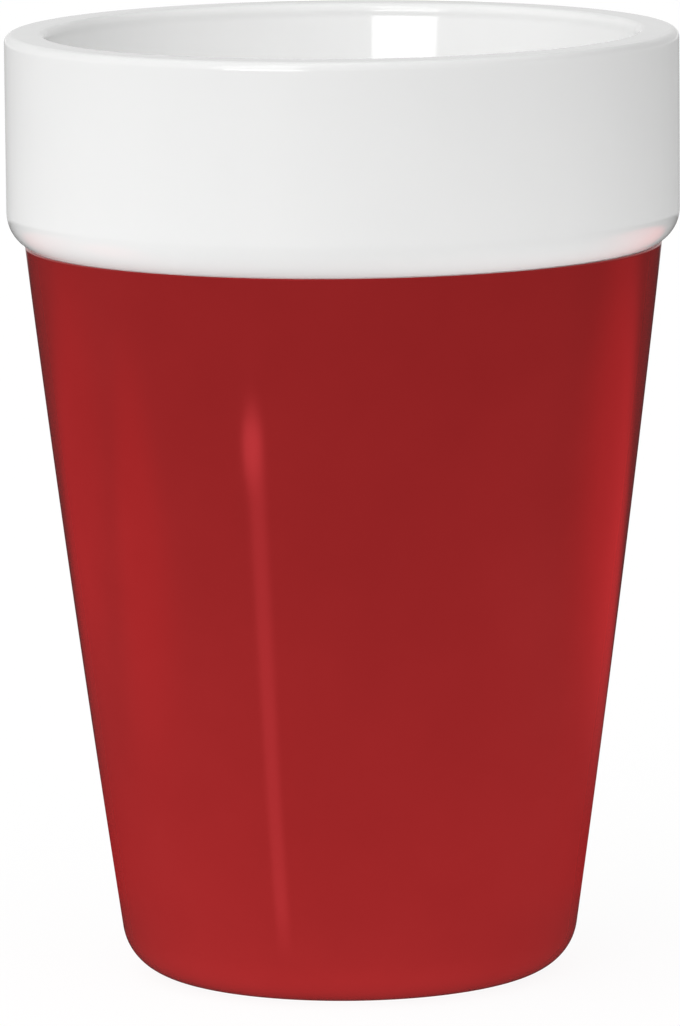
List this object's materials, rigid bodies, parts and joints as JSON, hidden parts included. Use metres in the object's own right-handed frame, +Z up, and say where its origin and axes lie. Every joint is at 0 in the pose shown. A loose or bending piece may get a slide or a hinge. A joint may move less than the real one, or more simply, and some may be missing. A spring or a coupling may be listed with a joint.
{
  "type": "double-walled porcelain mug",
  "caption": "Tall tapered mug of glazed porcelain with an air gap between its walls, a wide white collar over a red body, a foot ring and a soft plug in the base vent.",
  "frame": {"origin": "centre of the foot ring, on the surface that the mug stands on", "axes": "+Z up along the mug's axis of revolution, -Y towards the picture's viewer, +X to the viewer's right"},
  "size_m": [0.084, 0.084, 0.1185],
  "materials": {
    "red_glaze": "glossy red glaze on the outside of the body, from the collar line to the foot ring",
    "white_glaze": "glossy white glaze on the collar, the lip and the inside, over white porcelain that is bare on the foot ring",
    "plug_rubber": "matt, slightly translucent white silicone"
  },
  "bodies": {
    "root": {"mug": "red_glaze", "vent_plug": "plug_rubber"}
  },
  "joints": []
}
